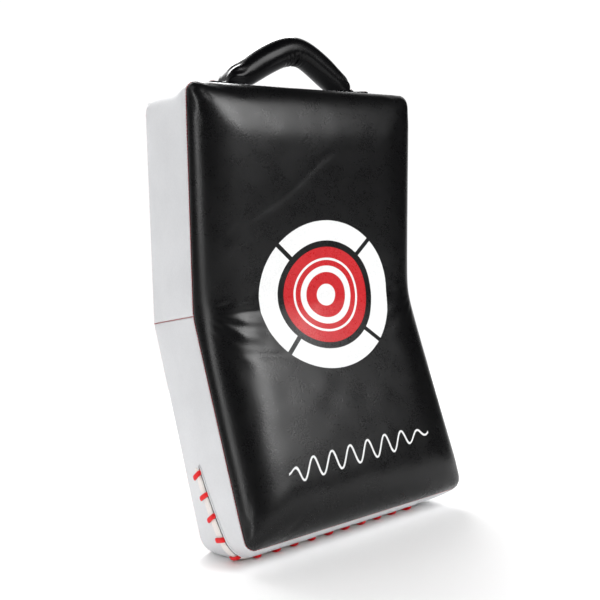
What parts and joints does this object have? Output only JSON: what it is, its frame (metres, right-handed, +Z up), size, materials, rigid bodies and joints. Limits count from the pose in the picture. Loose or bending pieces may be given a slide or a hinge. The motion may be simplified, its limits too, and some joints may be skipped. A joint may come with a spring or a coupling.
{
  "type": "kick shield",
  "caption": "Curved padded kick shield for strike training, with a laced gusset, a padded carry handle on top, and a hand grip and forearm loops on its back.",
  "frame": {"origin": "middle of the flattened heel, the rear bottom edge that the shield stands on", "axes": "+X to the right across the strike face, +Y back from the strike face towards the holder, +Z up"},
  "size_m": [0.3538, 0.2922, 0.6653],
  "materials": {
    "face_leather": "black artificial leather with a fine grain and a soft sheen",
    "back_leather": "black artificial leather, matt",
    "gusset_leather": "silver-grey artificial leather with a fine diagonal weave",
    "handle_leather": "smooth glossy black artificial leather",
    "loop_leather": "black artificial leather, soft",
    "impact_foam": "closed-cell foam",
    "core_foam": "open-cell foam",
    "webbing": "woven black webbing",
    "tape": "woven off-white tape",
    "lace": "thick red waxed lace",
    "seam_thread": "red machine thread"
  },
  "bodies": {
    "root": {"front_cover": "face_leather", "back_cover": "back_leather", "gusset_upper": "gusset_leather", "gusset_lower": "gusset_leather", "front_seam_thread": "seam_thread", "back_seam_thread": "seam_thread", "gusset_join_thread": "seam_thread", "closure_tape": "tape", "closure_lacing": "lace", "impact_foam": "impact_foam", "core_foam": "core_foam", "backing_foam": "core_foam", "top_handle_tab_left": "handle_leather", "top_handle_tab_right": "handle_leather", "top_handle_stitches": "seam_thread", "top_handle_reinforcement": "webbing", "rear_grip_tab_left": "handle_leather", "rear_grip_tab_right": "handle_leather", "rear_grip_stitches": "seam_thread", "rear_grip_reinforcement": "webbing", "upper_arm_loop_tab_left": "handle_leather", "upper_arm_loop_tab_right": "handle_leather", "upper_arm_loop_stitches": "seam_thread", "upper_arm_loop_reinforcement": "webbing", "lower_arm_loop_tab_left": "handle_leather", "lower_arm_loop_tab_right": "handle_leather", "lower_arm_loop_stitches": "seam_thread", "lower_arm_loop_reinforcement": "webbing"},
    "top_handle": {"top_handle_cover": "handle_leather", "top_handle_foam": "core_foam", "top_handle_webbing": "webbing"},
    "rear_grip": {"rear_grip_cover": "handle_leather", "rear_grip_foam": "core_foam", "rear_grip_webbing": "webbing"},
    "upper_arm_loop": {"upper_arm_loop_cover": "loop_leather", "upper_arm_loop_foam": "core_foam", "upper_arm_loop_webbing": "webbing"},
    "lower_arm_loop": {"lower_arm_loop_cover": "loop_leather", "lower_arm_loop_foam": "core_foam", "lower_arm_loop_webbing": "webbing"}
  },
  "joints": [
    {"name": "top_handle_tilt", "type": "hinge", "parent": "root", "child": "top_handle", "pos_m": [0, -0.02007, 0.59831], "axis": [1, 0, 0], "range_deg": [-50, 50], "stiffness_Nm_per_rad": 0.4},
    {"name": "rear_grip_tilt", "type": "hinge", "parent": "root", "child": "rear_grip", "pos_m": [0, 0.07423, 0.53086], "axis": [1, 0, 0], "range_deg": [-50, 50], "stiffness_Nm_per_rad": 0.4},
    {"name": "upper_arm_loop_swing", "type": "hinge", "parent": "root", "child": "upper_arm_loop", "pos_m": [0, 0.0965, 0.37242], "axis": [1, 0, 0], "range_deg": [-45, 45], "stiffness_Nm_per_rad": 0.4},
    {"name": "lower_arm_loop_swing", "type": "hinge", "parent": "root", "child": "lower_arm_loop", "pos_m": [0, 0.07377, 0.18155], "axis": [1, 0, 0], "range_deg": [-45, 45], "stiffness_Nm_per_rad": 0.4}
  ]
}
